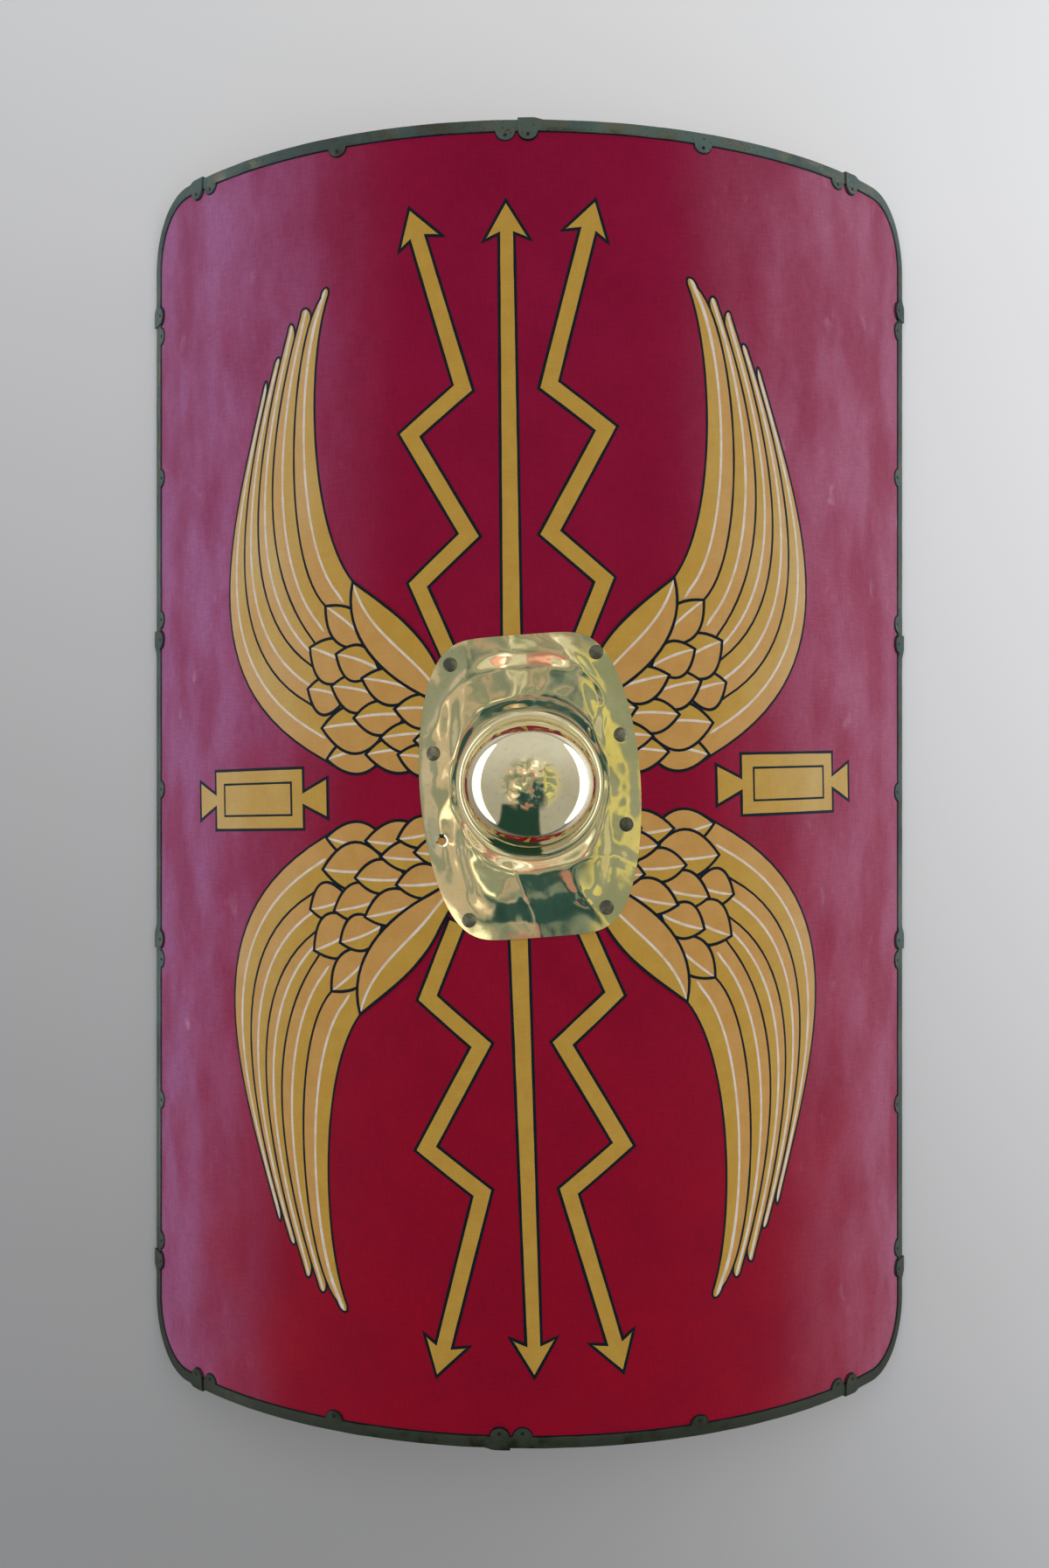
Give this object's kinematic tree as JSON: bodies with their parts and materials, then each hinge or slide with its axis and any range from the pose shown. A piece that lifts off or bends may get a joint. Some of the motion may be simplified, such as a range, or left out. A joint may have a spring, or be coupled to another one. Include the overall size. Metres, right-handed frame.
{
  "type": "roman scutum shield",
  "caption": "Curved rectangular infantry shield with rounded corners: painted bent board, metal edge binding, domed boss plate over a hand opening and a grip bar behind.",
  "frame": {"origin": "under the middle of the shield, on the surface it lies on, face up, on its two long edges", "axes": "+X across the shield to the right as seen from the front, +Y to its upper end, +Z out of the face through the boss"},
  "size_m": [0.6902, 1.0626, 0.2451],
  "materials": {
    "painted_board": "crimson paint on linen over plywood, satin",
    "rim_bronze": "aged, grey-green patina",
    "boss_brass": "polished, hand hammered",
    "rivet_bronze": "dark, dull",
    "grip_wood": "oiled, handled",
    "gold_paint": "hand painted, satin",
    "outline_paint": "hand painted, satin",
    "quill_paint": "hand painted, satin"
  },
  "bodies": {
    "root": {"board": "painted_board", "rim_top_left": "rim_bronze", "rim_top_right": "rim_bronze", "rim_bottom_right": "rim_bronze", "rim_bottom_left": "rim_bronze", "rim_corner_upper_left": "rim_bronze", "rim_corner_upper_right": "rim_bronze", "rim_corner_lower_right": "rim_bronze", "rim_corner_lower_left": "rim_bronze", "rim_right_upper": "rim_bronze", "rim_right_middle": "rim_bronze", "rim_right_lower": "rim_bronze", "rim_left_lower": "rim_bronze", "rim_left_middle": "rim_bronze", "rim_left_upper": "rim_bronze", "boss": "boss_brass", "rivet_upper_left": "rivet_bronze", "rivet_upper_right": "rivet_bronze", "rivet_left": "rivet_bronze", "rivet_right": "rivet_bronze", "rivet_lower_right": "rivet_bronze", "rivet_foot_left": "rivet_bronze", "rivet_foot_right": "rivet_bronze", "grip_bar": "grip_wood"}
  },
  "joints": []
}
